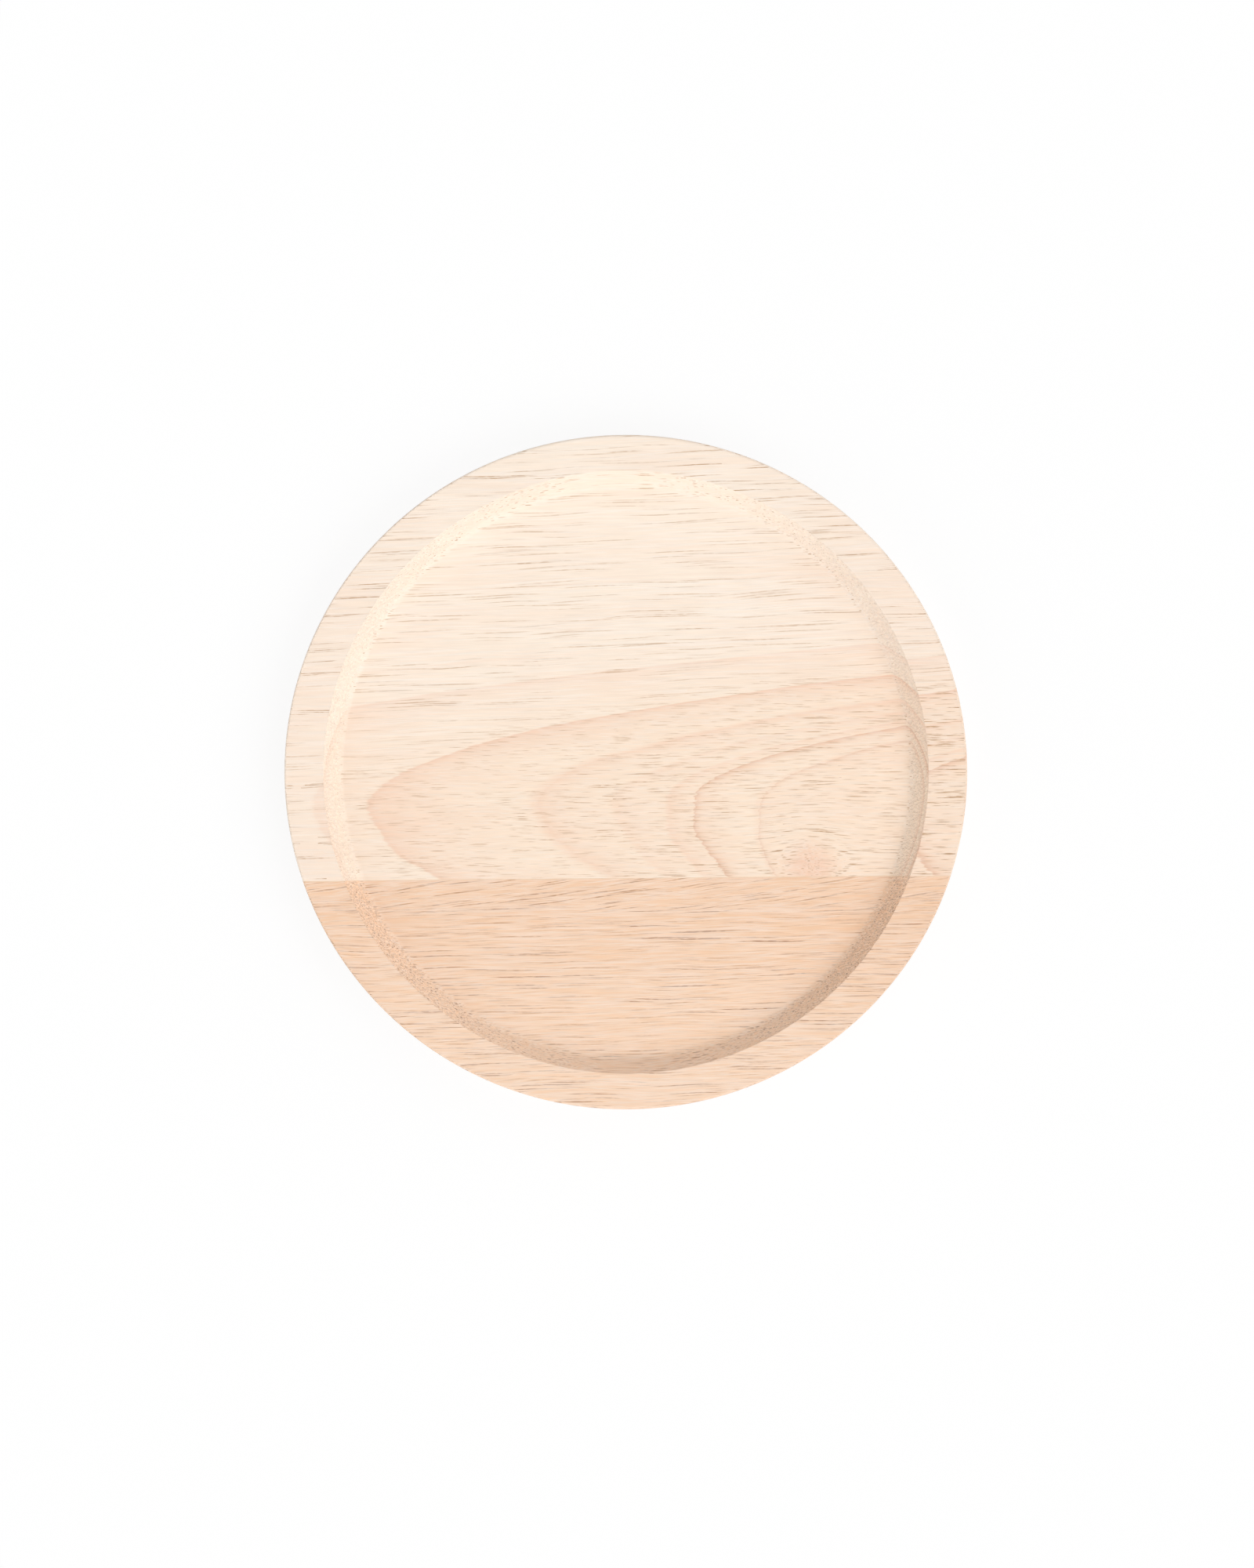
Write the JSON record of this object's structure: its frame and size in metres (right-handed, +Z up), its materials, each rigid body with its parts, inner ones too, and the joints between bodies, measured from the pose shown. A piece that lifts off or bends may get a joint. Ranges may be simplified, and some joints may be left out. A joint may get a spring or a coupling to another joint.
{
  "type": "serving board",
  "caption": "Round wooden serving board with a shallow turned recess and a flat rim, glued edge to edge from pale hardwood staves.",
  "frame": {"origin": "middle of the flat underside", "axes": "+X along the grain and the glue joint, +Y across the grain towards the wide pale stave, +Z up, out of the recess"},
  "size_m": [0.25, 0.247, 0.018],
  "materials": {
    "pale_wood": "matte",
    "warm_wood": "matte",
    "cured_glue": "satin"
  },
  "bodies": {
    "root": {"stave_pale": "pale_wood", "glue_line": "cured_glue", "stave_warm": "warm_wood"}
  },
  "joints": []
}
